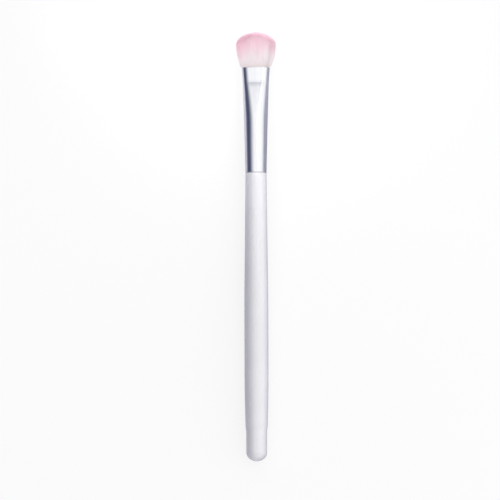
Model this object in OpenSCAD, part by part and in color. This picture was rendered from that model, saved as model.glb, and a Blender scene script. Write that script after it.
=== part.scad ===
// Eyeshadow brush: a turned, lacquered wooden handle, a drawn aluminium ferrule that is
// round at the handle and pressed flat at its mouth, and a flared, domed tuft of hair.
// Lengths are in millimetres. The brush lies on its belly along X with the hair towards +X,
// its width along Y, and its flat faces up and down. The origin is under its middle.

/* [Handle] */
// Length of handle that shows, from its rounded end to the ferrule
handle_len = 109; // [90:0.1:150]
// Diameter of the straight stretch beside the rounded end
end_d = 7.8; // [6.5:0.1:8.2]
// Length of the rounded end
end_round = 3.3; // [2:0.1:5]
// Length of the straight stretch beside the rounded end
end_straight = 7.5; // [4:0.1:12]
// Diameter where the short step above the straight stretch ends
step_d = 8.4; // [8.2:0.1:8.8]
// Length of that step
step_len = 3.4; // [2:0.1:6]
// Length over which the handle swells from the step to its belly
swell_len = 19; // [10:0.5:25]
// Diameter of the belly, the thickest stretch of the handle
belly_d = 9; // [8.8:0.1:11]
// Length of the belly
belly_len = 24; // [10:0.5:30]
// How far the neck's eased edge reaches along the handle
neck_ease_len = 0.6; // [0.3:0.1:1.2]
// How far the neck's eased edge reaches inwards
neck_ease_in = 0.2; // [0.1:0.02:0.26]
// Length of the tenon inside the ferrule
tenon_len = 14; // [8:0.5:15]
// Chamfer at the tip of the tenon
tenon_chamfer = 0.8; // [0.3:0.1:1.5]

/* [Ferrule] */
// Length of the ferrule
ferrule_len = 40.1; // [36:0.1:60]
// Wall of the ferrule
ferrule_wall = 0.35; // [0.25:0.01:0.45]
// Width of the ferrule at its mouth
mouth_w = 10.7; // [10:0.1:12]
// Thickness of the ferrule at its mouth
mouth_t = 5.8; // [5:0.1:6.6]
// Length of the flat lip that the press leaves behind the mouth
lip_len = 5.3; // [3.5:0.1:7]
// Width of the ferrule at the crease where the flat lip ends
crease_w = 9.9; // [9.2:0.1:10]
// Depth of the crease
crease_depth = 0.1; // [0.04:0.01:0.14]
// Length of the crease along the ferrule
crease_len = 0.7; // [0.4:0.1:1.2]
// Distance from the mouth at which the ferrule has become round
round_from = 20; // [15:0.5:21]
// Diameter where the ferrule has become round
round_d = 8.94; // [8.6:0.01:9.1]
// Diameter of the ferrule at the handle
ferrule_end_d = 7.96; // [7.8:0.01:8.2]

/* [Hair] */
// Length of hair past the mouth
hair_out = 13.5; // [10:0.1:18]
// Width of the hair at its widest
hair_w = 14.9; // [12:0.1:16]
// Thickness of the hair at its thickest
hair_t = 9; // [7:0.1:10]
// Height of the domed tip
dome_len = 4.2; // [2:0.1:6]
// Share of the dome's fall that reaches the flat faces of the tuft
dome_face = 0.75; // [0.4:0.05:0.9]
// Unevenness of the hair tips
tip_scatter = 0.3; // [0:0.05:0.5]
// Count of rings of strands, from the wall of the mouth to its middle
hair_rings = 7; // [6:1:8]
// Spacing of the strands along their ring at the mouth
strand_step = 0.33; // [0.3:0.01:0.5]
// Gap that keeps neighbouring strands apart
strand_gap = 0.05; // [0.03:0.01:0.1]
// Share of its thickness that a strand keeps at its tip
tip_share = 0.6; // [0.3:0.05:0.9]

/* [Fits and glue] */
// How far the end of the ferrule stands proud of the handle's neck
rim_step = 0.01; // [0:0.01:0.05]
// Thickness of the slice of set glue that binds the roots at the mouth
root_slice = 1.2; // [0.8:0.1:2]
// How far the top of that slice lies below the edge of the mouth
root_recess = 0.1; // [0.05:0.01:0.2]
// How far the strands reach into that slice
root_embed = 0.25; // [0.1:0.05:0.5]
// Margin between the outermost strands and the edge of that slice
root_margin = 0.04; // [0.02:0.01:0.1]
// Length of the plug of set glue under the roots
plug_len = 11; // [6:0.5:12]
// Thickness of the glue round the tenon at the end of the ferrule
tenon_glue_t = 0.12; // [0.08:0.01:0.2]
// Clearance of set glue from the metal, and from the edges that it stops short of
glue_clear = 0.04; // [0.02:0.01:0.06]

/* [Hidden] */

// Counts of flat steps in the curves
around = 64;
dome_steps = 10;
step_steps = 6;
swell_steps = 6;
taper_steps = 15;
ease_steps = 4;
press_steps = 8;
edge_steps = 4;
strand_sides = 3;

// Fixed angles of the strand layout
full_turn = 360;
half_turn = 180;
quarter_turn = 90;
golden_share = 0.618;
drop_seed = 12;
turn_seed = 5;

// Exponents of the curves in which the ferrule's faces and the hair open out
press_power = 1.4;
flare_power = 2;

// Share of the handle's taper in which it bends away from the belly
bend_share = 0.2;

// Where each stretch of the handle ends, measured from its rounded end
straight_z = end_round + end_straight;
step_z = straight_z + step_len;
swell_z = step_z + swell_len;
belly_z = swell_z + belly_len;
ease_z = handle_len - neck_ease_len;
overall_len = handle_len + ferrule_len + hair_out;
mouth_z = handle_len + ferrule_len;
neck_d = ferrule_end_d - 2 * rim_step;
tenon_d = ferrule_end_d - 2 * (ferrule_wall + tenon_glue_t);

// The lowest point of the lying brush is under its thickest stretch
rest_height = max(belly_d, round_d, mouth_t, hair_t) / 2;

// Curves from 0 to 1: slow at both ends, and fast at the start
function both_ends(t) = t * t * (3 - 2 * t);
function opening(t, power) = 1 - pow(1 - min(max(t, 0), 1), power);

// A straight run from 0 to 1 that starts in a bend
function bent_start(t) =
    (t < bend_share ? t * t / (2 * bend_share) : t - bend_share / 2) / (1 - bend_share / 2);
function between(a, b, t) = a + (b - a) * t;

// Points of the handle's outline from its rounded end to its neck
function handle_dome() = [
    for (i = [0 : dome_steps - 1])
        let (q = quarter_turn * i / dome_steps)
        [end_d / 2 * sin(q), end_round * (1 - cos(q))]
];
function handle_step() = [
    for (i = [0 : step_steps - 1])
        let (t = i / step_steps)
        [between(end_d, step_d, both_ends(t)) / 2, between(straight_z, step_z, t)]
];
function handle_swell() = [
    for (i = [0 : swell_steps - 1])
        let (t = i / swell_steps)
        [between(step_d, belly_d, sin(quarter_turn * t)) / 2, between(step_z, swell_z, t)]
];
function handle_taper() = [
    for (i = [0 : taper_steps - 1])
        let (t = i / taper_steps)
        [between(belly_d, neck_d, bent_start(t)) / 2, between(belly_z, ease_z, t)]
];
function neck_ease() = [
    for (i = [0 : ease_steps])
        let (q = quarter_turn * i / ease_steps)
        [neck_d / 2 - neck_ease_in * (1 - cos(q)),
         handle_len - neck_ease_len * (1 - sin(q))]
];
function handle_outline() = concat(
    handle_dome(),
    [[end_d / 2, end_round]],
    handle_step(),
    handle_swell(),
    [[belly_d / 2, swell_z]],
    handle_taper(),
    neck_ease(),
    [[tenon_d / 2, handle_len],
     [tenon_d / 2, handle_len + tenon_len - tenon_chamfer],
     [tenon_d / 2 - tenon_chamfer, handle_len + tenon_len],
     [0, handle_len + tenon_len]]
);

// Half width and half thickness of the ferrule's outside, s behind its mouth. A dip marks
// the crease on the flat faces.
function cone_r(s) =
    between(round_d, ferrule_end_d, (s - round_from) / (ferrule_len - round_from)) / 2;
function crease_dip(s) =
    crease_depth * max(0, 1 - abs(s - lip_len) / (crease_len / 2));
function half_w(s) =
    s <= lip_len ? between(mouth_w, crease_w, s / lip_len) / 2 :
    s <= round_from ? between(crease_w, round_d, (s - lip_len) / (round_from - lip_len)) / 2 :
    cone_r(s);
function half_t(s) =
    s <= round_from ?
        between(mouth_t, round_d,
            opening((s - lip_len) / (round_from - lip_len), press_power)) / 2 - crease_dip(s) :
    cone_r(s);

// Outline of the ferrule at s, set in by inset: two half circles joined by straight sides
function ring(s, inset) = [
    for (i = [0 : around - 1])
        let (q = full_turn * (i + 0.5) / around,
             r = half_t(s) - inset,
             flat = half_w(s) - half_t(s))
        [r * sin(q), r * cos(q) + sign(cos(q)) * flat, mouth_z - s]
];

// Places along the ferrule where its outline changes
press_s = [
    for (i = [0 : press_steps])
        between(lip_len + crease_len / 2, round_from, i / press_steps)
];
wall_s = concat([lip_len - crease_len / 2, lip_len], press_s);

// Path round the wall, as pairs of a place and an inset: up the outside, over the rolled
// edge of the mouth and down the inside
edge_r = ferrule_wall / 2;
mouth_edge = [
    for (i = [0 : edge_steps])
        let (q = half_turn * i / edge_steps)
        [edge_r * (1 - sin(q)), edge_r * (1 - cos(q))]
];
wall_path = concat(
    [[ferrule_len, 0]],
    [for (i = [len(wall_s) - 1 : -1 : 0]) [wall_s[i], 0]],
    mouth_edge,
    [for (s = wall_s) [s, ferrule_wall]],
    [[ferrule_len, ferrule_wall]]
);

// Two triangles for each cell of a band between neighbouring rings
function band(a, b) = [
    for (i = [0 : around - 1])
        let (j = (i + 1) % around)
        each [[a * around + i, b * around + j, b * around + i],
              [a * around + i, a * around + j, b * around + j]]
];
function cap(a, turned) = [
    for (i = [1 : around - 2])
        turned ? [a * around, a * around + i + 1, a * around + i]
               : [a * around, a * around + i, a * around + i + 1]
];

// Solid that fills the ferrule's bore from s0 to s1, with a clearance to its wall
module bore_filling(s0, s1) {
    places = concat([s0], [for (s = wall_s) if (s > s0 && s < s1) s], [s1]);
    last = len(places) - 1;
    polyhedron(
        points = [for (s = places) each ring(s, ferrule_wall + glue_clear)],
        faces = concat(
            [for (k = [0 : last - 1]) each band(k + 1, k)],
            cap(0, false),
            cap(last, true))
    );
}

// The slice that binds the roots: two half circles joined by straight sides
slice_s = root_recess + root_slice;
root_flat = half_w(slice_s) - half_t(slice_s);
slice_r = mouth_t / 2 - ferrule_wall - glue_clear;
tuft_r = slice_r - root_margin;

// The tuft opens out up to its shoulder, and its strands thicken with it. At the shoulder
// and above, the outermost strands reach the width and the thickness of the hair.
shoulder_h = hair_out - dome_len;
strand_r = (strand_step - strand_gap) / 2;
outer_ring_r = tuft_r - strand_r;
full_growth = min(hair_w / 2 / (root_flat + tuft_r), hair_t / 2 / tuft_r);
tip_r = strand_r * full_growth * tip_share;
function opened(h, full) = between(1, full, opening(h / shoulder_h, flare_power));
function grow_w(h) = opened(h, (hair_w / 2 - tip_r) / (root_flat + outer_ring_r));
function grow_t(h) = opened(h, (hair_t / 2 - tip_r) / outer_ring_r);

// Strand roots on rings one inside the other, each of the same shape as the slice
ring_pitch = outer_ring_r / (hair_rings - 0.5);
function ring_r(k) = outer_ring_r - k * ring_pitch;
function ring_length(k) = 4 * root_flat + 2 * PI * ring_r(k);
function along_ring(r, d) =
    let (side = 2 * root_flat, arc = PI * r)
    d < side ? [root_flat - d, r] :
    d < side + arc ?
        let (q = quarter_turn + half_turn * (d - side) / arc)
        [r * cos(q) - root_flat, r * sin(q)] :
    d < 2 * side + arc ? [d - side - arc - root_flat, -r] :
        let (q = half_turn * (d - 2 * side - arc) / arc - quarter_turn)
        [r * cos(q) + root_flat, r * sin(q)];
strand_roots = [
    for (k = [0 : hair_rings - 1])
        let (count = floor(ring_length(k) / strand_step))
        for (i = [0 : count - 1])
            along_ring(ring_r(k), ring_length(k) * ((i + k * golden_share) % count) / count)
];
strand_count = len(strand_roots);
strand_drop = rands(0, tip_scatter, strand_count, drop_seed);

// A strand of the outermost ring turns an edge outwards, so that the tuft's faces are even.
// The others are turned at random.
outer_count = floor(ring_length(0) / strand_step);
random_turn = rands(0, full_turn, strand_count, turn_seed);
function outward(root) =
    atan2(root[1], root[0] - min(max(root[0], -root_flat), root_flat));
function strand_turn(root, n) = n < outer_count ? outward(root) : random_turn[n];

// Height of a strand's tip: the dome falls from the middle to the edge of the tuft
function tip_h(root, n) =
    let (across = pow(root[0] / (root_flat + tuft_r), 2),
         through = dome_face * pow(root[1] / tuft_r, 2))
    shoulder_h + dome_len * sqrt(max(0, 1 - across - through)) - strand_drop[n];

// A strand has rings at its root, at two heights where the tuft bends, and at its tip
bend_low = 0.33;
bend_high = 0.75;
function strand_heights(root, n) = [
    -root_recess - root_embed, bend_low * shoulder_h, bend_high * shoulder_h, tip_h(root, n)
];
strand_taper = [1, 1, 1, tip_share];
strand_levels = len(strand_taper);
function strand_points(root, n) = [
    for (k = [0 : strand_levels - 1])
        let (h = strand_heights(root, n)[k],
             r = strand_r * opened(h, full_growth) * strand_taper[k])
        for (i = [0 : strand_sides - 1])
            let (q = full_turn * i / strand_sides + strand_turn(root, n))
            [root[1] * grow_t(h) + r * sin(q), root[0] * grow_w(h) + r * cos(q), mouth_z + h]
];
function strand_faces(n) =
    let (first = n * strand_levels * strand_sides)
    concat(
        [for (k = [0 : strand_levels - 2]) for (i = [0 : strand_sides - 1])
            let (a = first + k * strand_sides,
                 b = a + strand_sides,
                 j = (i + 1) % strand_sides)
            each [[a + i, b + j, b + i], [a + i, a + j, b + j]]],
        [[for (i = [strand_sides - 1 : -1 : 0]) first + i]],
        [[for (i = [0 : strand_sides - 1])
            first + (strand_levels - 1) * strand_sides + i]]
    );

// Lays a piece that was made upright, with its handle end at the bottom, on its belly
module laid() {
    translate([-overall_len / 2, 0, rest_height])
        rotate([0, quarter_turn, 0])
            children();
}

module handle() {
    color([0.95, 0.94, 0.96])
        laid()
            rotate_extrude($fn = around)
                polygon(handle_outline());
}

module ferrule() {
    last = len(wall_path) - 1;
    color([0.74, 0.75, 0.8])
        laid()
            polyhedron(
                points = [for (p = wall_path) each ring(p[0], p[1])],
                faces = [for (k = [0 : last]) each band(k, (k + 1) % (last + 1))]
            );
}

module bristles() {
    color([0.97, 0.8, 0.87])
        laid() {
            translate([0, 0, mouth_z - slice_s])
                linear_extrude(root_slice) {
                    square([2 * slice_r, 2 * root_flat], center = true);
                    for (side = [-1, 1])
                        translate([0, side * root_flat])
                            circle(slice_r, $fn = around);
                }
            polyhedron(
                points = [for (n = [0 : strand_count - 1]) each strand_points(strand_roots[n], n)],
                faces = [for (n = [0 : strand_count - 1]) each strand_faces(n)]
            );
        }
}

module root_glue() {
    color([0.87, 0.78, 0.55])
        laid()
            bore_filling(slice_s, slice_s + plug_len);
}

// Radius of the round stretch of the bore, which is a little less between its corners
function bore_r(s) = (half_t(s) - ferrule_wall) * cos(half_turn / around);

module tenon_glue() {
    top_s = ferrule_len - tenon_len + tenon_chamfer;
    end_s = ferrule_len - glue_clear;
    color([0.9, 0.86, 0.72])
        laid()
            difference() {
                translate([0, 0, mouth_z - end_s])
                    cylinder(
                        h = end_s - top_s,
                        r1 = bore_r(end_s) - glue_clear,
                        r2 = bore_r(top_s) - glue_clear,
                        $fn = around);
                translate([0, 0, handle_len])
                    cylinder(h = tenon_len, d = tenon_d, $fn = around);
            }
}

handle();
ferrule();
bristles();
root_glue();
tenon_glue();
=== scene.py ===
import math

import bpy
import numpy as np
from mathutils import Matrix, Vector


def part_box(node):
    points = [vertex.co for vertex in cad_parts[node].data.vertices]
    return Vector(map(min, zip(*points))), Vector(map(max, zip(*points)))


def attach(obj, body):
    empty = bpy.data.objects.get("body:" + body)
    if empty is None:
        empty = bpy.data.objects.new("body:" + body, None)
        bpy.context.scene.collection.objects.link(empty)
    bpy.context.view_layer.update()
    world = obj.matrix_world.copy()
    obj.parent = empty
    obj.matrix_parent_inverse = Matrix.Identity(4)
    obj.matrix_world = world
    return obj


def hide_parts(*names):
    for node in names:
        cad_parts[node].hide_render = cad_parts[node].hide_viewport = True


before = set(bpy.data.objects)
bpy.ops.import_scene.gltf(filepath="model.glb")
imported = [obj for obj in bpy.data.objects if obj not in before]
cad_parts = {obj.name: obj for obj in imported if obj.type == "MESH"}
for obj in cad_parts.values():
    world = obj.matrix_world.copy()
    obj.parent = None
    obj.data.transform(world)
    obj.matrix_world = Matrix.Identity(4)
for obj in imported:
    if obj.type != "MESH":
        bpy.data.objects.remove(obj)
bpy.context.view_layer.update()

bl_info = {
    "name": "Eyeshadow brush",
    "version": (1, 0, 0),
    "blender": (4, 5, 0),
    "location": "3D View > Sidebar > Brush",
    "description": "Dresses an eyeshadow brush in lacquer, aluminium and hair",
    "category": "Object",
}

MM = 0.001

# Corners of the pieces that the surfaces below are laid in
HANDLE_LOW, HANDLE_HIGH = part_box("handle")
FERRULE_LOW, FERRULE_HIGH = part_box("ferrule")
HAIR_LOW, HAIR_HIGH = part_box("bristles")
AXIS_Z = (HANDLE_LOW.z + HANDLE_HIGH.z) / 2
END_X = HANDLE_LOW.x
JOINT_X = FERRULE_LOW.x
MOUTH_X = FERRULE_HIGH.x


def length(name, description, default):
    """A size in metres, for a PropertyGroup."""
    return bpy.props.FloatProperty(
        name=name, description=description, default=default, min=0.0,
        unit="LENGTH", subtype="DISTANCE", precision=5)


def share(name, description, default):
    """A plain number from 0 to 1, for a PropertyGroup."""
    return bpy.props.FloatProperty(
        name=name, description=description, default=default, min=0.0, max=1.0,
        subtype="FACTOR")


def colour(name, description, default):
    """A linear colour, for a PropertyGroup."""
    return bpy.props.FloatVectorProperty(
        name=name, description=description, default=default, size=3, min=0.0, max=1.0,
        subtype="COLOR")


class BrushHandleSizes(bpy.types.PropertyGroup):
    """Sizes of the turned handle, from its rounded end to the tenon in the ferrule."""

    end_diameter: length("End diameter", "Diameter beside the rounded end", 7.8 * MM)
    end_round: length("End rounding", "Length of the rounded end", 3.3 * MM)
    end_straight: length("End stretch", "Straight stretch beside the rounded end", 7.5 * MM)
    step_diameter: length("Step diameter", "Diameter just past the small step", 8.4 * MM)
    step_length: length("Step length", "Length of the small step", 3.4 * MM)
    swell_length: length("Swell length", "Length from the step to the belly", 19 * MM)
    belly_diameter: length(
        "Belly diameter", "Diameter of the thickest stretch", HANDLE_HIGH.z - HANDLE_LOW.z)
    belly_length: length("Belly length", "Length of the thickest stretch", 24 * MM)
    neck_diameter: length("Neck diameter", "Diameter at the joint", 7.94 * MM)
    neck_ease_length: length("Neck ease length", "Length of the eased edge", 0.6 * MM)
    neck_ease_depth: length("Neck ease depth", "Depth of the eased edge", 0.2 * MM)
    tenon_diameter: length("Tenon diameter", "Diameter of the tenon", 7.02 * MM)
    tenon_chamfer: length("Tenon chamfer", "Bevel on the end of the tenon", 0.8 * MM)


class BrushFerruleSizes(bpy.types.PropertyGroup):
    """Sizes of the ferrule, from its mouth to the joint."""

    wall: length("Wall", "Thickness of the metal", 0.35 * MM)
    mouth_width: length("Mouth width", "Width across the mouth", 2 * FERRULE_HIGH.y)
    mouth_thickness: length("Mouth thickness", "Thickness at the mouth", 5.8 * MM)
    lip_length: length("Lip length", "Length that the press flattened", 5.3 * MM)
    crease_width: length("Crease width", "Width across the crease", 9.9 * MM)
    crease_depth: length("Crease depth", "Depth of the crease", 0.1 * MM)
    crease_length: length("Crease length", "Length of the crease's dip", 0.7 * MM)
    face_crown: length("Face crown", "How far the flat faces bulge", 0.08 * MM)
    round_from: length("Round from", "Distance from the mouth to the round part", 20 * MM)
    round_diameter: length("Round diameter", "Diameter where it becomes round", 8.94 * MM)
    end_diameter: length("End diameter", "Diameter at the joint", 7.96 * MM)
    end_edge: length("End edge", "Rounding of the edge at the joint", 0.1 * MM)


class BrushHairSizes(bpy.types.PropertyGroup):
    """Sizes of the tuft and of its hairs."""

    reach: length("Reach", "Length of hair past the mouth", HAIR_HIGH.x - MOUTH_X)
    width: length("Width", "Width of the tuft", 2 * HAIR_HIGH.y)
    thickness: length("Thickness", "Thickness of the tuft", HAIR_HIGH.z - HAIR_LOW.z)
    dome: length("Dome", "Height of the domed tip", 4.6 * MM)
    face_fall: share("Face fall", "Share of the dome's fall on the flat faces", 0.45)
    spacing: length("Hair spacing", "Distance between hairs in the mouth", 0.068 * MM)
    radius: length("Hair radius", "Radius of a hair, before its taper", 0.033 * MM)
    lock_spacing: length("Lock spacing", "Distance between locks in the mouth", 0.42 * MM)
    gather: share("Gather", "How far hairs lean to the middle of their lock", 0.12)
    lean: length("Lean", "Unevenness of the hair tips sideways", 0.075 * MM)
    drop: length("Drop", "Unevenness of the hair tips in height", 0.35 * MM)
    stray: length("Stray", "How far the longest hairs stand past the dome", 0.5 * MM)
    crown_shift: length("Crown shift", "How far the crown is off the middle", 0.3 * MM)
    aside: length("Aside", "How far the tuft leans to the right", 0.18 * MM)


class BrushColours(bpy.types.PropertyGroup):
    """Colours of the finishes."""

    lacquer: colour("Lacquer", "Body of the lacquer", (0.83, 0.82, 0.84))
    lacquer_shade: colour("Lacquer shade", "Thin places of the lacquer", (0.80, 0.79, 0.81))
    metal: colour("Metal", "Polished aluminium", (0.90, 0.90, 0.92))
    metal_shade: colour("Metal shade", "Drawn lines in the aluminium", (0.80, 0.81, 0.85))
    joint_band: colour("Joint line", "Darker band on the edge at the joint", (0.60, 0.58, 0.60))
    hair_root_and_reflection: colour("Hair root", "Hair in the mouth, with a painted warm reflection", (0.98, 0.87, 0.86))
    hair_cream: colour("Hair cream", "Undyed hair", (0.98, 0.865, 0.88))
    hair_blush: colour("Hair blush", "Start of the dye", (0.99, 0.69, 0.77))
    hair_pink: colour("Hair pink", "Dyed tips", (0.99, 0.54, 0.67))
    hair_pale: colour("Hair pale", "Palest hairs", (1.0, 0.97, 0.97))
    hair_painted_shade: colour("Hair painted shade", "Shade between the hairs", (0.84, 0.68, 0.77))
    epoxy: colour("Root glue", "Set glue at the roots", (0.72, 0.60, 0.36))
    epoxy_pale: colour("Root glue pale", "Bubbles in the root glue", (0.9, 0.84, 0.68))
    wood_glue: colour("Tenon glue", "Set glue round the tenon", (0.85, 0.80, 0.66))
    wood_glue_dark: colour("Tenon glue dark", "Marks in the tenon glue", (0.74, 0.66, 0.48))
    floor: colour("Floor", "Paper of the floor", (0.93, 0.93, 0.94))
    # Floor tones that only the brush sees, in reflections and bounce: painted reflection
    # and painted shade, not cards
    painted_floor_near: colour("Painted near floor", "Floor that the brush sees", (0.76, 0.71, 0.77))
    painted_dark_left: colour("Painted left floor", "Dark painted floor left of the brush, seen only by the brush", (0.10, 0.12, 0.19))
    painted_dull_right: colour("Painted right floor", "Dull painted floor right of the brush, seen only by the brush", (0.31, 0.31, 0.38))


# Shader maths


class Wire:
    """An output of a node. Sums, differences and products of wires and numbers add Math
    nodes."""

    def __init__(self, sheet, socket):
        self.sheet = sheet
        self.socket = socket

    def output(self, name):
        """Another output of the same node."""
        return Wire(self.sheet, self.socket.node.outputs[name])

    def worked(self, operation, first, second):
        """Adds a Math node with an operation on two wires or numbers."""
        return self.sheet.add("ShaderNodeMath", {"operation": operation},
                              {0: first, 1: second})

    def __add__(self, other):
        return self.worked("ADD", self, other)

    def __radd__(self, other):
        return self.worked("ADD", other, self)

    def __sub__(self, other):
        return self.worked("SUBTRACT", self, other)

    def __rsub__(self, other):
        return self.worked("SUBTRACT", other, self)

    def __mul__(self, other):
        return self.worked("MULTIPLY", self, other)

    def __rmul__(self, other):
        return self.worked("MULTIPLY", other, self)


class Sheet:
    """The node tree of one finish."""

    def __init__(self, tree):
        self.tree = tree
        tree.nodes.clear()

    def add(self, kind, settings=None, sockets=None, output=0):
        """Adds a node of a type, gives it its settings and then its sockets' values or
        links, and returns a wire from one of its outputs."""
        node = self.tree.nodes.new(kind)
        for name, value in (settings or {}).items():
            if name == "stops":
                ramp = node.color_ramp.elements
                while len(ramp) < len(value):
                    ramp.new(0.5)
                for element, (place, tone) in zip(ramp, value):
                    element.position = place
                    element.color = (*tone, 1.0)
            else:
                setattr(node, name, value)
        for name, value in (sockets or {}).items():
            if isinstance(value, Wire):
                self.tree.links.new(value.socket, node.inputs[name])
            elif node.inputs[name].type == "RGBA":
                node.inputs[name].default_value = (*value, 1.0)
            else:
                node.inputs[name].default_value = value
        return Wire(self, node.outputs[output]) if len(node.outputs) else None

    def blend(self, factor, first, second):
        """Colour between first, at 0, and second, at 1."""
        return self.add("ShaderNodeMix", {"data_type": "RGBA"},
                        {0: factor, 6: first, 7: second}, 2)

    def stretched(self, place, scale):
        """A place scaled along each axis."""
        return self.add("ShaderNodeMapping", None, {"Vector": place, "Scale": scale})

    def noise(self, place, scale, detail=2.0, rough=0.5):
        """Cloudy noise from 0 to 1."""
        return self.add("ShaderNodeTexNoise", None, {
            "Vector": place, "Scale": scale, "Detail": detail, "Roughness": rough})

    def ramped(self, value, low, high, to_low=0.0, to_high=1.0):
        """A value from low to high, eased at both ends, as a number from to_low to
        to_high."""
        return self.add("ShaderNodeMapRange", {"interpolation_type": "SMOOTHSTEP"}, {
            "Value": value, "From Min": low, "From Max": high,
            "To Min": to_low, "To Max": to_high})

    def object_mm(self):
        """Object coordinates in millimetres."""
        place = self.add("ShaderNodeTexCoord", output="Object")
        return self.stretched(place, (1 / MM, 1 / MM, 1 / MM))

    def bump(self, height, depth, strength):
        """A normal bent by a height from 0 to 1 that stands for depth in metres."""
        return self.add("ShaderNodeBump", None, {
            "Height": height, "Distance": depth, "Strength": strength})

    def surface(self, shader):
        """Gives the finish a shader."""
        self.add("ShaderNodeOutputMaterial", None, {"Surface": shader})


def new_finish(name):
    """An empty material of a name, and the sheet of its nodes."""
    material = bpy.data.materials.new(name)
    material.use_nodes = True
    return material, Sheet(material.node_tree)


def lacquer_finish(tones):
    """White lacquer: slow mottling, wood grain that shows through lengthwise, orange peel
    and a few dust nibs under a clear gloss."""
    material, sheet = new_finish("white_lacquer")
    place = sheet.object_mm()
    mottle = sheet.noise(place, 0.11, 3.0, 0.55)
    grain = sheet.noise(sheet.stretched(place, (0.05, 2.2, 2.2)), 1.0, 4.0, 0.6)
    peel = sheet.noise(place, 1.3, 2.0, 0.4)
    cells = sheet.add("ShaderNodeTexVoronoi", {"feature": "F1"},
                      {"Vector": place, "Scale": 0.33, "Randomness": 1.0}, "Distance")
    nibs = sheet.ramped(cells, 0.05, 0.02)
    handled = sheet.noise(sheet.stretched(place, (0.09, 0.4, 0.4)), 1.0, 5.0, 0.65)
    thin = sheet.ramped(mottle * 0.6 + grain * 0.4, 0.62, 0.36)
    tone = sheet.blend(thin, tones.lacquer, tones.lacquer_shade)
    height = peel * 0.5 + grain * 0.35 + nibs * 0.4
    sheet.surface(sheet.add("ShaderNodeBsdfPrincipled", None, {
        "Base Color": tone,
        "Roughness": sheet.ramped(handled, 0.35, 0.7, 0.16, 0.34),
        "Coat Weight": sheet.ramped(handled, 0.75, 0.4, 0.7, 1.0),
        "Coat Roughness": 0.08,
        "Coat IOR": 1.55,
        "Specular IOR Level": 0.5,
        "Normal": sheet.bump(height, 0.02 * MM, 0.35),
    }))
    return material


def aluminium_finish(tones):
    """Drawn and polished aluminium: lines along the tube, a few slanting scratches, and a
    thin darker, duller and less metallic band on the edge at the joint."""
    material, sheet = new_finish("polished_aluminium")
    place = sheet.object_mm()
    along = sheet.add("ShaderNodeSeparateXYZ", None, {0: place}, "X")
    drawn = sheet.noise(sheet.stretched(place, (0.02, 5.0, 5.0)), 1.0, 5.0, 0.6)
    fine = sheet.noise(sheet.stretched(place, (0.12, 24.0, 24.0)), 1.0, 2.0, 0.5)
    clouds = sheet.noise(place, 0.35, 3.0, 0.5)
    turned = sheet.add("ShaderNodeMapping", None, {
        "Vector": place, "Rotation": (0.0, 0.0, 0.5), "Scale": (0.25, 3.4, 0.8)})
    scratch = sheet.ramped(sheet.noise(turned, 1.0, 6.0, 0.7), 0.69, 0.74)
    # A thin band on the edge at the joint, darker, duller and less metallic than the rest
    edge = sheet.ramped(along, JOINT_X / MM + 0.4, JOINT_X / MM + 0.1)
    tone = sheet.blend(sheet.ramped(drawn, 0.3, 0.7), tones.metal_shade, tones.metal)
    tone = sheet.blend(edge, tone, tones.joint_band)
    rough = 0.13 + sheet.ramped(drawn, 0.25, 0.75) * 0.09 + clouds * 0.06 + scratch * 0.1
    height = drawn * 0.6 + fine * 0.4 - scratch * 0.5
    sheet.surface(sheet.add("ShaderNodeBsdfPrincipled", None, {
        "Base Color": tone,
        "Metallic": sheet.ramped(edge, 0.0, 1.0, 1.0, 0.85),
        "Roughness": rough + edge * 0.2,
        "Normal": sheet.bump(height, 0.006 * MM, 0.3),
    }))
    return material


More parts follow.
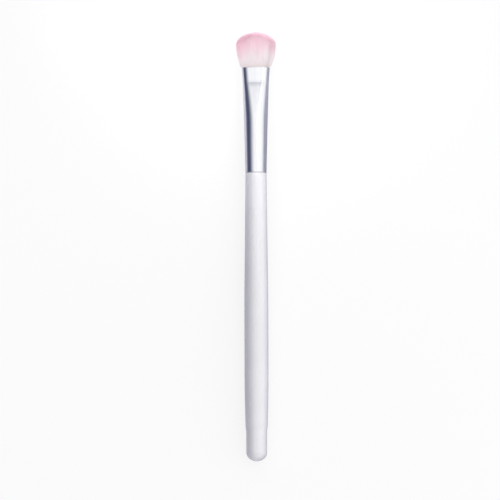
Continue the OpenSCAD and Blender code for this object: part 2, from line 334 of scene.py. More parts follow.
def hair_finish(tones):
    """Soft hair, cream at the root, with a painted warm reflection of the lip just past the
    mouth, and pink at the tip. The dye starts higher or lower from lock to lock and from
    hair to hair, and pale streaks and streaks of painted shade between the hairs run along
    it. The normal of each hair is bent outwards from the tuft's middle and upwards, so
    that the tuft is shaded as one soft form."""
    material, sheet = new_finish("dyed_hair")
    rise = sheet.add("ShaderNodeAttribute", {"attribute_name": "rise"}, output="Fac")
    tint = sheet.add("ShaderNodeAttribute", {"attribute_name": "tint"}, output="Fac")
    lock = sheet.add("ShaderNodeAttribute", {"attribute_name": "lock"}, output="Fac")
    place = sheet.object_mm()
    parts = sheet.add("ShaderNodeSeparateXYZ", None, {0: place})
    patches = sheet.noise(sheet.stretched(place, (0.08, 0.7, 0.7)), 1.0, 3.0, 0.6)
    bands = sheet.noise(sheet.stretched(place, (0.25, 2.2, 2.2)), 1.0, 3.0, 0.6)
    across = sheet.ramped(parts.output("Y"), 1.0, 7.5, 0.0, 0.2)
    dyed = rise + (tint - 0.5) * 0.14 + (lock - 0.5) * 0.12 + (patches - 0.5) * 0.4 + across
    # The root stop is partly the hair's own warm cream and partly a painted warm reflection
    # of the ferrule's lip
    tone = sheet.add("ShaderNodeValToRGB", {"stops": [
        (0.0, tones.hair_root_and_reflection), (0.12, tones.hair_cream), (0.28, tones.hair_cream),
        (0.56, tones.hair_blush), (0.92, tones.hair_pink)]}, {0: dyed})
    pale = sheet.ramped(tint * 0.5 + bands * 0.5, 0.35, 0.7, 0.0, 0.22)
    tone = sheet.blend(pale, tone, tones.hair_pale)
    # Painted shade: dark streaks that stand for the shade between the hairs
    dusky = sheet.ramped(bands, 0.35, 0.6, 0.12, 0.0)
    tone = sheet.blend(dusky, tone, tones.hair_painted_shade)
    middle = sheet.add("ShaderNodeVectorMath", {"operation": "SUBTRACT"}, {
        0: place, 1: (MOUTH_X / MM + 2.0, 0.0, AXIS_Z / MM)})
    outward = sheet.add("ShaderNodeVectorMath", {"operation": "MULTIPLY"}, {
        0: middle, 1: (0.03, 0.04, 0.15)})
    own = sheet.add("ShaderNodeNewGeometry", output="Normal")
    outward = sheet.add("ShaderNodeVectorMath", {"operation": "ADD"}, {
        0: outward, 1: (0.0, 0.0, 0.35)})
    soft = sheet.add("ShaderNodeVectorMath", {"operation": "MULTIPLY_ADD"}, {
        0: own, 1: (0.3, 0.3, 0.3), 2: outward})
    sheet.surface(sheet.add("ShaderNodeBsdfPrincipled", None, {
        "Base Color": tone,
        "Roughness": sheet.ramped(tint, 0.0, 1.0, 0.5, 0.68),
        "Specular IOR Level": 0.35,
        "Sheen Weight": 0.5,
        "Sheen Roughness": 0.5,
        "Normal": sheet.add("ShaderNodeVectorMath", {"operation": "NORMALIZE"}, {0: soft}),
    }))
    return material


def epoxy_finish(tones):
    """Set casting glue: amber, glossy, with small bubbles."""
    material, sheet = new_finish("set_epoxy")
    place = sheet.object_mm()
    cloud = sheet.noise(place, 0.6, 4.0, 0.6)
    cells = sheet.add("ShaderNodeTexVoronoi", None, {"Vector": place, "Scale": 2.4},
                      "Distance")
    bubble = sheet.ramped(cells, 0.22, 0.12)
    tone = sheet.blend(cloud * 0.5 + bubble * 0.3, tones.epoxy, tones.epoxy_pale)
    sheet.surface(sheet.add("ShaderNodeBsdfPrincipled", None, {
        "Base Color": tone,
        "Roughness": sheet.ramped(cloud, 0.2, 0.8, 0.12, 0.3),
        "Normal": sheet.bump(bubble, 0.05 * MM, 0.4),
    }))
    return material


def wood_glue_finish(tones):
    """Set wood glue: a cream film, dull, with brush marks along the tenon."""
    material, sheet = new_finish("wood_glue")
    place = sheet.object_mm()
    marks = sheet.noise(sheet.stretched(place, (0.3, 2.0, 2.0)), 1.0, 4.0, 0.6)
    tone = sheet.blend(marks, tones.wood_glue, tones.wood_glue_dark)
    sheet.surface(sheet.add("ShaderNodeBsdfPrincipled", None, {
        "Base Color": tone,
        "Roughness": sheet.ramped(marks, 0.2, 0.8, 0.5, 0.75),
        "Normal": sheet.bump(marks, 0.03 * MM, 0.5),
    }))
    return material


def floor_finish(tones):
    """Matt white paper, lifted towards white for the camera and still shaded by the brush.
    For all rays but the camera's its colour is painted: greyish under the brush, dark on
    its left and dull grey on its right. This puts painted dark reflections in the metal
    and painted shade on the brush's sides."""
    material, sheet = new_finish("studio_paper")
    place = sheet.object_mm()
    across = sheet.add("ShaderNodeSeparateXYZ", None, {0: place}, "Y")
    fibre = sheet.noise(place, 1.5, 4.0, 0.6)
    camera = sheet.add("ShaderNodeLightPath", output="Is Camera Ray")
    # Painted reflection and shade: for all rays but the camera's, the floor is painted
    # greyish near the brush, dark to its left and dull grey to its right
    painted_seen_floor = sheet.blend(sheet.ramped(across, 0.0, 42.0), tones.painted_floor_near, tones.painted_dark_left)
    painted_seen_floor = sheet.blend(sheet.ramped(across, 0.0, -4.0), painted_seen_floor, tones.painted_dull_right)
    paper = sheet.add("ShaderNodeBsdfPrincipled", None, {
        "Base Color": sheet.blend(camera, painted_seen_floor, tones.floor),
        "Roughness": 0.9,
        "Specular IOR Level": 0.1,
        "Normal": sheet.bump(fibre, 0.02 * MM, 0.15),
    })
    white = sheet.add("ShaderNodeEmission", None, {"Color": WHITE, "Strength": 1.0})
    sheet.surface(sheet.add("ShaderNodeMixShader", None, {
        0: camera * FLOOR_LIFT, 1: paper, 2: white}))
    return material


# Surfaces


def both_ends(t):
    """A curve from 0 to 1 that is slow at both ends: t squared times (3 minus 2t)."""
    return t * t * (3 - 2 * t)


def bent_start(t, bend=0.2):
    """A straight run from 0 to 1 that starts in a bend: t squared over 2 bends up to the
    bend, t minus half a bend past it, and both divided by 1 minus half a bend."""
    return np.where(t < bend, t * t / (2 * bend), t - bend / 2) / (1 - bend / 2)


def opening(t, power):
    """A curve from 0 to 1 that is fast at the start: 1 minus (1 - t) to a power."""
    return 1 - (1 - np.clip(t, 0, 1)) ** power


def make_mesh(name, points, quads, triangles=None):
    """Fills a mesh with points (n, 3), four-cornered faces (m, 4) and triangles (k, 3),
    all shaded smooth."""
    triangles = np.zeros((0, 3), int) if triangles is None else triangles
    mesh = bpy.data.meshes.new(name)
    mesh.vertices.add(len(points))
    mesh.vertices.foreach_set("co", points.astype(np.float32).ravel())
    corners = np.concatenate([quads.ravel(), triangles.ravel()]).astype(np.int32)
    counts = np.concatenate([np.full(len(quads), 4), np.full(len(triangles), 3)])
    starts = np.concatenate([[0], np.cumsum(counts)[:-1]])
    mesh.loops.add(len(corners))
    mesh.loops.foreach_set("vertex_index", corners)
    mesh.polygons.add(len(counts))
    mesh.polygons.foreach_set("loop_start", starts.astype(np.int32))
    mesh.polygons.foreach_set("loop_total", counts.astype(np.int32))
    mesh.polygons.foreach_set("use_smooth", np.ones(len(counts), bool))
    mesh.update(calc_edges=True)
    if mesh.validate():
        raise RuntimeError(f"the mesh of {name} had faces that don't hold")
    return mesh


def add_piece(name, mesh, finish, node):
    """Puts a mesh into the scene in place of a CAD node, with its finish."""
    piece = bpy.data.objects.new(name, mesh)
    bpy.context.scene.collection.objects.link(piece)
    mesh.materials.append(finish)
    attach(piece, "root")
    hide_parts(node)


def ring_faces(rings, around, closed):
    """Four-cornered faces between neighbouring rings of points, each ring closed on
    itself, and the last ring joined to the first where closed."""
    count = rings if closed else rings - 1
    ring = np.arange(count)[:, None]
    spot = np.arange(around)[None, :]
    here, there = ring * around, ((ring + 1) % rings) * around
    step = (spot + 1) % around
    return np.stack([here + spot, here + step, there + step, there + spot],
                    axis=-1).reshape(-1, 4)


def fan(pole, first, around, turned):
    """Triangles between a pole and a ring that starts at a point's number."""
    spot = first + np.arange(around)
    step = first + (np.arange(around) + 1) % around
    poles = np.full(around, pole)
    return np.stack([poles, step, spot] if turned else [poles, spot, step], axis=-1)


def capped_mesh(name, points, around):
    """A surface of rings of points, one after another, closed at each end by a fan to a
    pole. The poles are the last two points."""
    pole = len(points) - 2
    triangles = np.concatenate([
        fan(pole, 0, around, True), fan(pole + 1, pole - around, around, False)])
    return make_mesh(name, points, ring_faces(pole // around, around, False), triangles)


def stadium(half_w, half_t, around):
    """Points evenly spaced round two half circles joined by straight sides, for arrays of
    half widths and half thicknesses: a quarter of the outline is an arc of radius half_t
    and a side of half_w minus half_t, and the other three mirror it. Returns the places
    across the width and through the thickness, and how squarely each point faces up or
    down, from 0 at the sides to 1 on the straight parts."""
    half_w, half_t = half_w[:, None], half_t[:, None]
    flat = np.maximum(half_w - half_t, 0)
    turn = 4 * (np.arange(around) + 0.5)[None, :] / around
    quarter = np.floor(turn).astype(int)
    inside = turn - quarter
    part = np.where(quarter % 2 == 0, inside, 1 - inside)
    arc = half_t * math.pi / 2
    run = part * (arc + flat)
    on_arc = run < arc
    angle = np.where(on_arc, run / half_t, math.pi / 2)
    width = np.where(on_arc, flat + half_t * np.cos(angle), flat - (run - arc))
    through = half_t * np.sin(angle)
    width = width * np.where((quarter == 0) | (quarter == 3), 1, -1)
    through = through * np.where(quarter < 2, 1, -1)
    return width, through, np.sin(angle)


TIGHT = 0.02 * MM  # between rings that keep an edge crisp, and round the tenon's pole


def handle_outline(sizes):
    """Distances from the rounded end and radii along the handle: a quarter ellipse, a
    straight stretch, a step that is slow at both ends, a quarter sine up to the belly, a
    straight taper that starts in a bend, a quarter ellipse at the neck, and the tenon."""
    handle_length = JOINT_X - END_X
    straight = sizes.end_round + sizes.end_straight
    step = straight + sizes.step_length
    swell = step + sizes.swell_length
    belly = swell + sizes.belly_length
    ease = handle_length - sizes.neck_ease_length
    tenon = HANDLE_HIGH.x - END_X
    if belly > ease or tenon < handle_length:
        raise RuntimeError("the handle's stretches are longer than the handle")
    end_r, step_r = sizes.end_diameter / 2, sizes.step_diameter / 2
    belly_r, neck_r = sizes.belly_diameter / 2, sizes.neck_diameter / 2
    tenon_r = sizes.tenon_diameter / 2
    t = np.linspace(0, 1, 25)[1:]
    long = np.linspace(0, 1, 61)[1:]
    q = t * math.pi / 2
    eased_r = neck_r - sizes.neck_ease_depth
    runs = [
        (sizes.end_round * (1 - np.cos(q)), end_r * np.sin(q)),
        (sizes.end_round + (straight - sizes.end_round) * t[3::4], end_r + 0 * t[3::4]),
        (straight + (step - straight) * t, end_r + (step_r - end_r) * both_ends(t)),
        (step + (swell - step) * t, step_r + (belly_r - step_r) * np.sin(q)),
        (swell + (belly - swell) * t[3::4], belly_r + 0 * t[3::4]),
        (belly + (ease - belly) * long, belly_r + (neck_r - belly_r) * bent_start(long)),
        (ease + sizes.neck_ease_length * np.sin(q[1::2]),
         neck_r - sizes.neck_ease_depth * (1 - np.cos(q[1::2]))),
        (np.full(3, handle_length), np.array([eased_r - TIGHT, tenon_r + TIGHT, tenon_r])),
        (np.array([handle_length + TIGHT, tenon - sizes.tenon_chamfer - TIGHT,
                   tenon - sizes.tenon_chamfer, tenon - TIGHT, tenon, tenon]),
         np.array([tenon_r, tenon_r, tenon_r, tenon_r - sizes.tenon_chamfer + TIGHT,
                   tenon_r - sizes.tenon_chamfer, TIGHT])),
    ]
    return np.concatenate([r[0] for r in runs]), np.concatenate([r[1] for r in runs])


def turned_mesh(name, along, radius, around=128):
    """A surface of revolution about the brush's axis: each ring is a circle of a radius
    at a distance from the rounded end, and a pole closes each end."""
    q = 2 * math.pi * np.arange(around) / around
    rings = np.stack([
        np.broadcast_to(END_X + along[:, None], (len(along), around)),
        radius[:, None] * np.cos(q)[None, :],
        AXIS_Z + radius[:, None] * np.sin(q)[None, :]], axis=-1).reshape(-1, 3)
    poles = np.array([[END_X, 0, AXIS_Z], [END_X + along[-1], 0, AXIS_Z]])
    return capped_mesh(name, np.concatenate([rings, poles]), around)


# How the pressed ferrule bends
OPENING_POWER = 1.4  # how fast its thickness opens past the crease
SECTION_STEP = 0.05  # between the sections that are averaged, in millimetres
BEND_STEPS = 70  # sections averaged to each side
BEND_WIDTH = 1.1  # how far a section counts in the average, in millimetres
BEND_RUN = 4 * MM  # from the crease to where the average holds in full
CREASE_BACK = 0.25 * MM  # from the lip to the deepest line of the crease
CREASE_FRONT_SHARE, CREASE_REAR_SHARE = 0.6, 1.6  # of its length, for its two slopes
BULGE_FROM = 2 * MM  # half width of a flat face that bulges in full
LEAST_FLAT = 0.01 * MM  # stands for no flat face, where the tube is round


def ferrule_sections(sizes, s):
    """Half width and half thickness of the ferrule at distances s behind its mouth. The
    width narrows in three straight runs. The thickness is even in the lip, opens quickly
    past the crease and then follows the round taper. Past the crease both are averaged
    with bell-shaped weights, as pressed metal bends."""
    lip, tube = sizes.lip_length, MOUTH_X - JOINT_X
    fine = np.arange(-6, 46, SECTION_STEP) * MM
    taper = (sizes.round_diameter + (sizes.end_diameter - sizes.round_diameter)
             * (fine - sizes.round_from) / (tube - sizes.round_from)) / 2
    width = np.interp(fine, [0, lip, sizes.round_from],
                      [sizes.mouth_width / 2, sizes.crease_width / 2,
                       sizes.round_diameter / 2])
    slope = (sizes.mouth_width - sizes.crease_width) / 2 / lip
    width = np.where(fine < 0, sizes.mouth_width / 2 - slope * fine, width)
    thick = (sizes.mouth_thickness + (sizes.round_diameter - sizes.mouth_thickness)
             * opening((fine - lip) / (sizes.round_from - lip), OPENING_POWER)) / 2
    width = np.where(fine > sizes.round_from, taper, width)
    thick = np.where(fine > sizes.round_from, taper, thick)
    away = np.arange(-BEND_STEPS, BEND_STEPS + 1) * SECTION_STEP
    weights = np.exp(-0.5 * (away / BEND_WIDTH) ** 2)
    weights /= weights.sum()
    soft = both_ends(np.clip((fine - lip) / BEND_RUN, 0, 1))
    for half in (width, thick):
        average = np.convolve(np.pad(half, BEND_STEPS, mode="edge"), weights, "valid")
        half += (average - half) * soft
    half_w, half_t = np.interp(s, fine, width), np.interp(s, fine, thick)
    return np.maximum(half_w, half_t), half_t


def ferrule_mesh(sizes, around=192):
    """A closed wall: rings round the outline run up the outside, over the rounded edge of
    the mouth and down the inside, and the last joins the first. The flat faces bulge by
    the square of 1 minus the square of the place across them. The crease is a bell-shaped
    dip in the faces, steeper towards the mouth than towards the handle."""
    tube = MOUTH_X - JOINT_X
    lip, edge, half_wall = sizes.lip_length, sizes.end_edge, sizes.wall / 2
    near = np.linspace(-1, 1, 25) * sizes.crease_length
    front, rear = lip - sizes.crease_length - 0.2 * MM, lip + sizes.crease_length + 0.3 * MM
    round_off, first = sizes.round_from - 0.3 * MM, 0.4 * MM
    outside = np.concatenate([
        np.linspace(tube - edge, sizes.round_from, 50), np.linspace(round_off, rear, 60),
        (lip + near)[::-1], np.linspace(front, first, 14)])
    q = np.linspace(0, math.pi, 17)
    lip_s, lip_in = half_wall * (1 - np.sin(q)), half_wall * (1 - np.cos(q))
    q = np.linspace(0, math.pi / 2, 7)[:-1]
    corner_s, corner_in = tube - edge * (1 - np.cos(q)), edge * (1 - np.sin(q))
    inside = np.concatenate([
        np.linspace(first, front, 8), lip + near[::2], np.linspace(rear, round_off, 20),
        np.linspace(sizes.round_from, tube - 5 * TIGHT, 12), [tube - TIGHT, tube]])
    s = np.concatenate([corner_s, outside, lip_s, inside])
    inset = np.concatenate([corner_in, 0 * outside, lip_in, sizes.wall + 0 * inside])
    half_w, half_t = ferrule_sections(sizes, s)
    width, through, facing = stadium(half_w - inset, half_t - inset, around)
    flat = np.maximum(half_w - half_t, LEAST_FLAT)[:, None]
    bulge = np.clip(1 - (width / flat) ** 2, 0, 1) ** 2 * np.minimum(flat / BULGE_FROM, 1)
    past = s - lip - CREASE_BACK
    slope = np.where(past < 0, CREASE_FRONT_SHARE, CREASE_REAR_SHARE)
    dip = sizes.crease_depth * np.exp(-(past / slope / sizes.crease_length) ** 2)
    through += np.sign(through) * (sizes.face_crown * bulge - dip[:, None] * facing ** 1.5)
    points = np.stack([
        np.broadcast_to(MOUTH_X - s[:, None], width.shape), width, AXIS_Z + through],
        axis=-1).reshape(-1, 3)
    return make_mesh("ferrule_tube", points, ring_faces(len(s), around, True))


# How the hair spreads in a tuft 15 mm wide and 9 mm thick, with its shoulder 9 mm past
# the mouth: heights past the mouth, half widths and half thicknesses, in millimetres
SPREAD_SHOULDER, SPREAD_HALF_WIDTH, SPREAD_HALF_THICKNESS = 9.0, 7.5, 4.5
SPREAD = np.array([
    (-1.2, 4.85, 2.46), (-0.25, 4.91, 2.48), (0.0, 5.0, 2.53), (0.35, 5.58, 2.86),
    (0.8, 5.93, 3.08), (1.4, 6.2, 3.25), (2.2, 6.47, 3.44), (3.6, 6.86, 3.72),
    (5.2, 7.26, 3.96), (6.6, 7.54, 4.12), (8.0, 7.58, 4.2), (9.0, 7.58, 4.22),
    (14.0, 7.58, 4.22)])

DOME_POWER = 0.55  # below a half the dome is blunter than an ellipsoid, above it sharper
ROOT_HALF_WIDTH, ROOT_HALF_THICKNESS = 4.89 * MM, 2.48 * MM  # of the hair in the mouth
ROOT_JITTER, LOCK_JITTER = 0.42, 0.35  # in spacings
HAIR_SEED, LOCK_SEED, CORE_SEED = 8, 11, 23
FEWEST_HAIRS = 1000

# How a hair is built: its sides, the heights of its lower rings past the mouth, in
# millimetres, the last run up to its tip, and what its radius is multiplied by at each
# ring, from the root to the tip
HAIR_SIDES = 3
HAIR_HEIGHTS = (-1.0, 0.05, 0.8, 2.4, 5.2)
TIP_RUN = 1.6 * MM
HAIR_TAPER = np.array([1.15, 1.15, 1.25, 1.4, 1.5, 1.4, 0.4])

# How uneven the hairs are
FEW_DROP, ALL_DROP = 2.2, 0.4  # most that a few hairs and all hairs drop, in drops
OUTER_DROP = 0.35  # share of the drop that is left on the outermost hairs
STRAY_POWER = 12  # the higher, the fewer hairs stand past the dome
LEAN_THROUGH = 0.6  # lean through the tuft, as a share of the lean across it
SWAY, SWAY_ANGLE = 0.05 * MM, 5.0  # of a lock, and what its sine runs through, in radians
FLOOR_CLEAR = 0.01 * MM  # least room between the hair and the floor

CORE_DEPTH = 0.33 * MM  # of the core's surface below that of the hair
CORE_FULLER = 0.6  # share of this depth that the core's sides gain at the shoulder
GROOVE_DEPTH, GROOVES = 0.006, (61, 97, 143)  # a share of the width, and waves round it


def hair_spread(sizes, h):
    """Half width and half thickness of the tuft at heights h past the mouth, as if no
    hair had ended: from the bore, over the lip, and opening in a curve to the shoulder."""
    heights, wide, thick = SPREAD.T
    place = h / (sizes.reach - sizes.dome) * SPREAD_SHOULDER
    return (np.interp(place, heights, wide) * sizes.width / 2 / SPREAD_HALF_WIDTH,
            np.interp(place, heights, thick) * sizes.thickness / 2 / SPREAD_HALF_THICKNESS)


def leaning(sizes, h):
    """How far the tuft has leant to the right at heights h past the mouth: a curve that
    is slow at both ends, up to half of the reach."""
    return -sizes.aside * both_ends(np.clip(2 * h / sizes.reach, 0, 1))


def tip_height(sizes, across, through):
    """Height of the dome over places from -1 to 1 across and through the tuft: 1 minus
    the squares of both, raised to a power, which over the shoulder makes nearly half an
    ellipsoid. Its crown is a little off the middle."""
    shoulder = sizes.reach - sizes.dome
    crown = 2 * sizes.crown_shift / sizes.width
    bent = across - crown * (1 - across ** 2)
    fall = np.clip(1 - bent ** 2 - sizes.face_fall * through ** 2, 0, 1)
    return shoulder + sizes.dome * fall ** DOME_POWER


def hair_roots(sizes, draw):
    """Places of the hairs from -1 to 1 across and through the mouth: a jittered grid,
    clipped to two half circles joined by straight sides. With them come how far out each
    hair is, from 0 to 1, its lock, which is the nearest one, and the locks' places."""
    half_w, half_t = ROOT_HALF_WIDTH, ROOT_HALF_THICKNESS

    def filled(pitch, jitter):
        row = pitch * math.sqrt(3) / 2
        v, u = np.meshgrid(np.arange(-half_t, half_t, row),
                           np.arange(-half_w, half_w, pitch), indexing="ij")
        u = u + (np.arange(len(v)) % 2)[:, None] * pitch / 2
        u = u.ravel() + draw.uniform(-jitter, jitter, u.size) * pitch
        v = v.ravel() + draw.uniform(-jitter, jitter, v.size) * pitch
        out = np.hypot(np.maximum(np.abs(u) - (half_w - half_t), 0), v)
        return u[out < half_t], v[out < half_t], (out / half_t)[out < half_t]

    u, v, out = filled(sizes.spacing, ROOT_JITTER)
    lock_u, lock_v, _ = filled(sizes.lock_spacing, LOCK_JITTER)
    lock = ((u[:, None] - lock_u) ** 2 + (v[:, None] - lock_v) ** 2).argmin(axis=1)
    return u / half_w, v / half_t, out, lock, lock_u / half_w, lock_v / half_t


def hair_mesh(name, sizes, roots, chosen, draw):
    """Hairs as three-sided tapering tubes. Each runs from its root in the mouth along the
    spreading tuft to its tip on the dome, a little below it or, for a few, past it. It
    leans to the middle of its lock on the way and a little at random at its tip, and sways
    in a sine of its height."""
    u, v, out, lock, lock_u, lock_v = roots
    u, v, out, lock = u[chosen], v[chosen], out[chosen], lock[chosen]
    count = len(u)
    tip = tip_height(sizes, u, v)
    short = draw.random(count) ** 3 * sizes.drop * FEW_DROP
    short = short + draw.random(count) * sizes.drop * ALL_DROP
    tip = tip - short * (OUTER_DROP + (1 - OUTER_DROP) * (1 - out))
    tip = tip + sizes.stray * draw.random(count) ** STRAY_POWER
    levels = np.stack([*(np.full(count, height * MM) for height in HAIR_HEIGHTS),
                       tip - TIP_RUN, tip], axis=1)
    climb = np.clip(levels / sizes.reach, 0, 1)
    wide, thick = hair_spread(sizes, levels)
    gather = sizes.gather * climb ** 1.5
    across = u[:, None] + (lock_u[lock] - u)[:, None] * gather
    through = v[:, None] + (lock_v[lock] - v)[:, None] * gather
    lean = draw.normal(0, 1, (count, 2)).clip(-2, 2)[:, None, :] * sizes.lean
    lean = lean * (climb ** 2)[:, :, None] * np.array([1.0, LEAN_THROUGH])
    wave = draw.uniform(0, 2 * math.pi, (len(lock_u), 2))[lock][:, None, :]
    sway = np.sin(wave + climb[:, :, None] * SWAY_ANGLE) * SWAY * climb[:, :, None]
    middle_y = across * wide + lean[:, :, 0] + sway[:, :, 0] + leaning(sizes, levels)
    middle_z = through * thick + lean[:, :, 1] + sway[:, :, 1]
    radius = HAIR_TAPER * sizes.radius * draw.uniform(0.8, 1.2, count)[:, None]
    q = 2 * math.pi * np.arange(HAIR_SIDES) / HAIR_SIDES
    q = q[None, None, :] + draw.uniform(0, 2 * math.pi, count)[:, None, None]
    rows = levels.shape[1]
    points = np.stack([
        np.broadcast_to(MOUTH_X + levels[:, :, None], (count, rows, HAIR_SIDES)),
        middle_y[:, :, None] + radius[:, :, None] * np.cos(q),
        AXIS_Z + middle_z[:, :, None] + radius[:, :, None] * np.sin(q)], axis=-1)
    points[..., 2] = np.clip(points[..., 2], FLOOR_CLEAR, 2 * AXIS_Z - FLOOR_CLEAR)
    size = rows * HAIR_SIDES
    first = (np.arange(count) * size)[:, None, None]
    quads = first + ring_faces(rows, HAIR_SIDES, False)[None, :, :]
    caps = first + np.array([[0, 2, 1], [size - 3, size - 2, size - 1]])[None, :, :]
    mesh = make_mesh(name, points.reshape(-1, 3), quads.reshape(-1, 4), caps.reshape(-1, 3))
    add_attribute(mesh, "rise", np.repeat(climb, HAIR_SIDES, axis=1))
    add_attribute(mesh, "tint", np.repeat(draw.random(count), size))
    add_attribute(mesh, "lock", np.repeat(lock_tint(len(lock_u))[lock], size))
    return mesh


def lock_tint(count):
    """A number from 0 to 1 for each lock, the same for every piece of hair."""
    return np.random.default_rng(LOCK_SEED).random(count)


def add_attribute(mesh, name, values):
    """A number at each point of a mesh, for its finish to read."""
    data = mesh.attributes.new(name, "FLOAT", "POINT").data
    data.foreach_set("value", np.ascontiguousarray(values, dtype=np.float32).ravel())


def hair_core_mesh(sizes, around=384):
    """The close-packed middle of the tuft, at an even depth below the outer hairs up to
    the shoulder: rings of its outline from the mouth to the shoulder and over the dome,
    closed by a pole at each end. The depth at its sides shrinks towards the shoulder, in a
    curve over the last two fifths of the way. Fine grooves run along it, a sum of three
    sines round the outline, and each column has a hair's tint."""
    shoulder = sizes.reach - sizes.dome
    low = np.linspace(-1.0 * MM, shoulder - CORE_DEPTH, 40)
    q = np.linspace(0, math.pi / 2, 22)[1:-1]
    dome = low[-1] + sizes.dome * np.sin(q)
    h = np.concatenate([low, dome])
    left = np.concatenate([np.ones(len(low)), 1 - np.sin(q) ** (1 / DOME_POWER)])
    wide, thick = hair_spread(sizes, h)
    side_share = 1 - CORE_FULLER * both_ends(np.clip(2.5 * h / shoulder - 1.5, 0, 1))
    wide = (wide - CORE_DEPTH * side_share) * np.sqrt(left)
    thick = (thick - CORE_DEPTH) * np.sqrt(np.minimum(left / sizes.face_fall, 1))
    column = 2 * math.pi * np.arange(around) / around
    groove = 1 - GROOVE_DEPTH * sum(
        np.sin(count * column + phase) for phase, count in enumerate(GROOVES))[None, :]
    width, through, _ = stadium(wide, np.minimum(thick, wide), around)
    rings = np.stack([np.broadcast_to(MOUTH_X + h[:, None], width.shape),
                      width * groove + leaning(sizes, h)[:, None],
                      AXIS_Z + through * groove], axis=-1).reshape(-1, 3)
    poles = np.array([[MOUTH_X + h[0], 0, AXIS_Z],
                      [MOUTH_X + low[-1] + sizes.dome, 0, AXIS_Z]])
    points = np.concatenate([rings, poles])
    mesh = capped_mesh("hair_core", points, around)
    draw = np.random.default_rng(CORE_SEED)
    for name, width in (("tint", 1), ("lock", 4)):
        columns = np.repeat(draw.random(around // width), width)
        add_attribute(mesh, name, np.append(np.tile(columns, len(h)), [0.5, 0.5]))
    add_attribute(mesh, "rise", np.clip((points[:, 0] - MOUTH_X) / sizes.reach, 0, 1))
    return mesh


# Stage

WHITE = (1.0, 1.0, 1.0)
FLOOR_REACH, FLOOR_CELLS = 15.0, 6
FLOOR_LIFT = 0.78  # how far the camera sees the floor lifted to white

# Tones of the studio round the brush
CEILING_RIGHT, CEILING_LEFT = (1.15, 1.15, 1.15), (1.10, 1.10, 1.10)
CEILING_ALONG = (0.62, 0.63, 0.68)
WALL_LEFT, WALL_RIGHT = (0.07, 0.085, 0.15), (0.30, 0.30, 0.40)
BOX_AT_HANDLE, BOX_AT_HAIR = (1.1, 1.1, 1.1), (1.7, 1.69, 1.69)

HAIR_LAMP_SIDE, HAIR_LAMP_SPREAD = 0.08, 50
HAIR_LEFT_ENERGY, HAIR_RIGHT_ENERGY = 0.0155, 0.0098

CAMERA_LENS = 400.0
CAMERA_DISTANCE = 2098.4 * MM
CAMERA_ELEVATION, CAMERA_ROLL = 85.0, 0.15
CAMERA_TARGET = (-1.45 * MM, 2.33 * MM, AXIS_Z)


def floor_mesh():
    """A level square grid under the brush."""
    lines, cell = FLOOR_CELLS + 1, np.arange(FLOOR_CELLS)
    spots = np.linspace(-FLOOR_REACH, FLOOR_REACH, lines)
    x, y = np.meshgrid(spots, spots, indexing="ij")
    points = np.stack([x, y, 0 * x], axis=-1).reshape(-1, 3)
    here = (cell[:, None] * lines + cell[None, :]).ravel()
    quads = np.stack([here, here + lines, here + lines + 1, here + 1], axis=-1)
    return make_mesh("floor", points, quads)


def studio_world():
    """A soft studio by direction. Lean is the angle from straight up, left of the brush
    positive, and reach is how far a direction points along the brush. The ceiling is
    bright, dimmer along the brush and bright again at two soft boxes past its ends. A
    dark wall stands on the left and a dull one on the right. The camera sees white."""
    world = bpy.data.worlds.new("studio")
    bpy.context.scene.world = world
    world.use_nodes = True
    sheet = Sheet(world.node_tree)
    parts = sheet.add("ShaderNodeSeparateXYZ", None, {
        0: sheet.add("ShaderNodeTexCoord", output="Generated")})
    x, y, z = parts.output("X"), parts.output("Y"), parts.output("Z")
    lean = sheet.add("ShaderNodeMath", {"operation": "ARCTAN2"}, {0: y, 1: z})
    reach = sheet.add("ShaderNodeMath", {"operation": "ABSOLUTE"}, {0: x - 0.06})
    tone = sheet.blend(sheet.ramped(lean, math.radians(6), math.radians(-8)),
                       CEILING_LEFT, CEILING_RIGHT)
    tone = sheet.blend(sheet.ramped(reach, 0.2, 0.52), tone, CEILING_ALONG)
    left = sheet.ramped(lean, math.radians(12), math.radians(68))
    tone = sheet.blend(left, tone, WALL_LEFT)
    right = sheet.ramped(lean, math.radians(-55), math.radians(-110))
    tone = sheet.blend(right, tone, WALL_RIGHT)
    overhead = sheet.ramped(lean, math.radians(60), math.radians(0), 0.5, 1.0)
    box = sheet.ramped(reach, 0.56, 0.74) * overhead
    strong = sheet.blend(sheet.ramped(x, -0.2, 0.2), BOX_AT_HANDLE, BOX_AT_HAIR)
    tone = sheet.blend(box, tone, strong)
    light = sheet.add("ShaderNodeBackground", None, {"Color": tone, "Strength": 1.0})
    white = sheet.add("ShaderNodeBackground", None, {"Color": WHITE, "Strength": 1.0})
    camera = sheet.add("ShaderNodeLightPath", output="Is Camera Ray")
    sheet.add("ShaderNodeOutputWorld", None, {"Surface": sheet.add(
        "ShaderNodeMixShader", None, {0: camera, 1: light, 2: white})})


def soft_lamp(name, long, wide, energy, place, aim, mirrored=False, spread=180):
    """A rectangular lamp at a place, turned to a point, that metal and lacquer mirror or
    not. Its long side lies level, and its light fans out over an angle in degrees."""
    lamp = bpy.data.lights.new(name, "AREA")
    lamp.shape = "RECTANGLE"
    lamp.size, lamp.size_y = long, wide
    lamp.energy = energy
    lamp.spread = math.radians(spread)
    holder = bpy.data.objects.new(name, lamp)
    bpy.context.scene.collection.objects.link(holder)
    holder.visible_glossy = mirrored
    holder.location = place
    turn = (Vector(aim) - Vector(place)).to_track_quat("-Z", "Y")
    holder.rotation_euler = turn.to_euler()


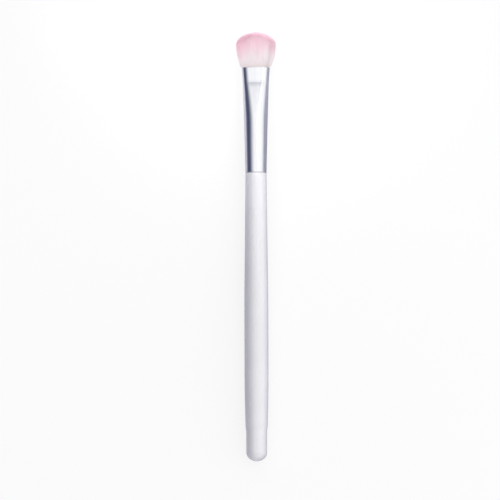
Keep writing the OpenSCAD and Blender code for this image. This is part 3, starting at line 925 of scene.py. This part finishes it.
def studio_lamps():
    """A long strip on the right that the brush mirrors, two small lamps past the tip that
    light the hair from both sides, and a fill from the right."""
    soft_lamp("strip", 0.5, 0.07, 0.08, (0.28, -0.154, 0.423), (0.28, 0.0, 0.0), True)
    for name, energy, side in (("hair_left", HAIR_LEFT_ENERGY, 1),
                               ("hair_right", HAIR_RIGHT_ENERGY, -1)):
        soft_lamp(name, HAIR_LAMP_SIDE, HAIR_LAMP_SIDE, energy,
                  (0.13, side * 0.077, 0.085), (0.085, 0.0, 0.0), spread=HAIR_LAMP_SPREAD)
    soft_lamp("right_fill", 0.5, 0.1, 0.12, (-0.01, -0.25, 0.1), (-0.01, 0.0, 0.0))


def studio_camera():
    """The photograph's view: over the flat side, hair up, a little towards the handle's
    end."""
    lens = bpy.data.cameras.new("view")
    lens.lens = CAMERA_LENS
    lens.sensor_width = 36.0
    lens.clip_start, lens.clip_end = 0.05, 50.0
    camera = bpy.data.objects.new("view", lens)
    bpy.context.scene.collection.objects.link(camera)
    e, roll = math.radians(CAMERA_ELEVATION), math.radians(CAMERA_ROLL)
    back = Vector((-math.cos(e), 0.0, math.sin(e)))
    up, right = Vector((math.sin(e), 0.0, math.cos(e))), Vector((0.0, -1.0, 0.0))
    up, right = (up * math.cos(roll) + right * math.sin(roll),
                 right * math.cos(roll) - up * math.sin(roll))
    turned = Matrix((right, up, back)).transposed().to_4x4()
    place = Vector(CAMERA_TARGET) + back * CAMERA_DISTANCE
    camera.matrix_world = Matrix.Translation(place) @ turned
    bpy.context.scene.camera = camera


# Operators


class BRUSH_OT_handle(bpy.types.Operator):
    """Turns the handle, with its tenon, in white lacquer"""

    bl_idname = "brush.handle"
    bl_label = "Turn the handle"

    def execute(self, context):
        along, radius = handle_outline(context.scene.brush_handle)
        mesh = turned_mesh("handle_lacquer", along, radius)
        add_piece("handle_lacquer", mesh, lacquer_finish(context.scene.brush_colours),
                  "handle")
        return {"FINISHED"}


class BRUSH_OT_ferrule(bpy.types.Operator):
    """Draws the ferrule and presses its mouth flat"""

    bl_idname = "brush.ferrule"
    bl_label = "Draw the ferrule"

    def execute(self, context):
        mesh = ferrule_mesh(context.scene.brush_ferrule)
        add_piece("ferrule_tube", mesh, aluminium_finish(context.scene.brush_colours),
                  "ferrule")
        return {"FINISHED"}


class BRUSH_OT_hair(bpy.types.Operator):
    """Plants the hair, lock by lock, round its close-packed middle"""

    bl_idname = "brush.hair"
    bl_label = "Plant the hair"

    def execute(self, context):
        sizes = context.scene.brush_hair
        finish = hair_finish(context.scene.brush_colours)
        draw = np.random.default_rng(HAIR_SEED)
        roots = hair_roots(sizes, draw)
        order = np.argsort(roots[2], kind="stable")
        if len(order) < FEWEST_HAIRS:
            raise RuntimeError("the hairs are too far apart to fill the mouth")
        add_piece("hair_core", hair_core_mesh(sizes), finish, "bristles")
        names = ["hair_heart", "hair_mantle", "hair_coat"]
        for name, chosen in zip(names, np.array_split(order, len(names))):
            mesh = hair_mesh(name, sizes, roots, chosen, draw)
            add_piece(name, mesh, finish, "bristles")
        return {"FINISHED"}


class BRUSH_OT_glue(bpy.types.Operator):
    """Finishes the set glue at the roots and round the tenon"""

    bl_idname = "brush.glue"
    bl_label = "Finish the glue"

    def execute(self, context):
        tones = context.scene.brush_colours
        for node, finish in (("root_glue", epoxy_finish(tones)),
                             ("tenon_glue", wood_glue_finish(tones))):
            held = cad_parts[node].data.materials
            held.clear()
            held.append(finish)
        return {"FINISHED"}


class BRUSH_OT_stage(bpy.types.Operator):
    """Lays the floor and sets the light and the camera"""

    bl_idname = "brush.stage"
    bl_label = "Set the stage"

    def execute(self, context):
        mesh = floor_mesh()
        mesh.materials.append(floor_finish(context.scene.brush_colours))
        floor = bpy.data.objects.new("floor", mesh)
        context.scene.collection.objects.link(floor)
        studio_world()
        studio_lamps()
        studio_camera()
        context.scene.view_settings.view_transform = "Standard"
        return {"FINISHED"}


class BRUSH_PT_panel(bpy.types.Panel):
    """Sizes, colours and steps of the brush"""

    bl_idname = "BRUSH_PT_panel"
    bl_label = "Brush"
    bl_space_type = "VIEW_3D"
    bl_region_type = "UI"
    bl_category = "Brush"

    def draw(self, context):
        for name, kind in GROUPS:
            box = self.layout.box()
            box.label(text=name.replace("_", " "))
            for field in kind.__annotations__:
                box.prop(getattr(context.scene, name), field)
        for step in STEPS:
            self.layout.operator(step.bl_idname)


GROUPS = (
    ("brush_handle", BrushHandleSizes),
    ("brush_ferrule", BrushFerruleSizes),
    ("brush_hair", BrushHairSizes),
    ("brush_colours", BrushColours),
)
STEPS = (BRUSH_OT_stage, BRUSH_OT_handle, BRUSH_OT_ferrule, BRUSH_OT_glue, BRUSH_OT_hair)


def register():
    """Registers the classes and hangs the sizes and colours on the scene."""
    for name, kind in GROUPS:
        bpy.utils.register_class(kind)
        setattr(bpy.types.Scene, name, bpy.props.PointerProperty(type=kind))
    for kind in (*STEPS, BRUSH_PT_panel):
        bpy.utils.register_class(kind)


def unregister():
    """Takes back all that register did, the last first."""
    for kind in (BRUSH_PT_panel, *reversed(STEPS)):
        bpy.utils.unregister_class(kind)
    for name, kind in reversed(GROUPS):
        delattr(bpy.types.Scene, name)
        bpy.utils.unregister_class(kind)


def main():
    """Registers the classes and makes the brush on its stage."""
    register()
    bpy.ops.brush.stage()
    bpy.ops.brush.handle()
    bpy.ops.brush.ferrule()
    bpy.ops.brush.glue()
    bpy.ops.brush.hair()


if __name__ == "__main__":
    main()
